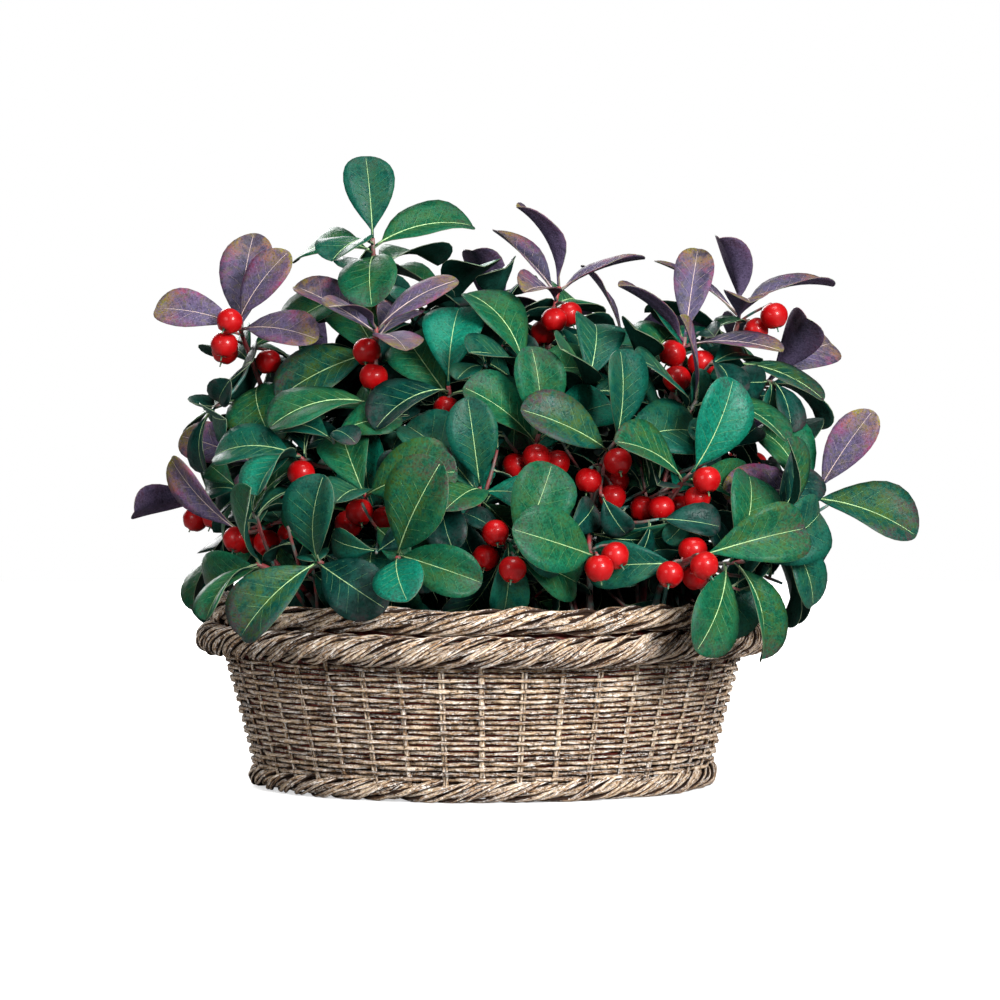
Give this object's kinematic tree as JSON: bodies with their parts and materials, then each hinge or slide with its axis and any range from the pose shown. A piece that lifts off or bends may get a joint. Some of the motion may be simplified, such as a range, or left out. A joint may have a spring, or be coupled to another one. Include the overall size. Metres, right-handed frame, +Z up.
{
  "type": "potted shrub",
  "caption": "Low evergreen gaultheria with leathery leaves, purple young tips and red berries, planted in a round flaring willow basket with a twisted rim.",
  "frame": {"origin": "on the floor, under the middle of the part's outline as seen from above", "axes": "+Z up out of the basket, +X to the right along the crown's widest reach, -Y toward the side the picture shows"},
  "size_m": [0.3266, 0.2792, 0.2635],
  "materials": {
    "willow": "weathered whitish willow, rough",
    "liner": "dark red-brown liner, dull",
    "compost": "dark damp compost",
    "stem": "blue-green to reddish bark",
    "leaf": "leathery satin leaf, with red berries"
  },
  "bodies": {
    "root": {"foot_border": "willow", "side_wall": "willow", "outer_border": "willow", "upper_border": "willow", "base_board": "willow", "liner": "liner", "soil": "compost", "stem_tall_left": "stem", "stem_far_left": "stem", "stem_left": "stem", "stem_left_rim": "stem", "stem_left_front": "stem", "stem_front_left": "stem", "stem_mid_front": "stem", "stem_front": "stem", "stem_front_mid_right": "stem", "stem_front_right": "stem", "stem_right_front": "stem", "stem_right_rim": "stem", "stem_right": "stem", "stem_top_right": "stem", "stem_upper_right": "stem", "stem_top_middle": "stem", "stem_back_left": "stem", "stem_back_far_left": "stem", "stem_back_left_rim": "stem", "stem_back_middle": "stem", "stem_back_right": "stem", "stem_back_right_rim": "stem", "stem_back_far_right": "stem", "leaves_tall_left": "leaf", "leaves_far_left": "leaf", "leaves_left": "leaf", "leaves_left_rim": "leaf", "leaves_left_front": "leaf", "leaves_front_left": "leaf", "leaves_mid_front": "leaf", "leaves_front": "leaf", "leaves_front_mid_right": "leaf", "leaves_front_right": "leaf", "leaves_right_front": "leaf", "leaves_right_rim": "leaf", "leaves_right": "leaf", "leaves_top_right": "leaf", "leaves_upper_right": "leaf", "leaves_top_middle": "leaf", "leaves_back_left": "leaf", "leaves_back_far_left": "leaf", "leaves_back_left_rim": "leaf", "leaves_back_middle": "leaf", "leaves_back_right": "leaf", "leaves_back_right_rim": "leaf", "leaves_back_far_right": "leaf"}
  },
  "joints": []
}
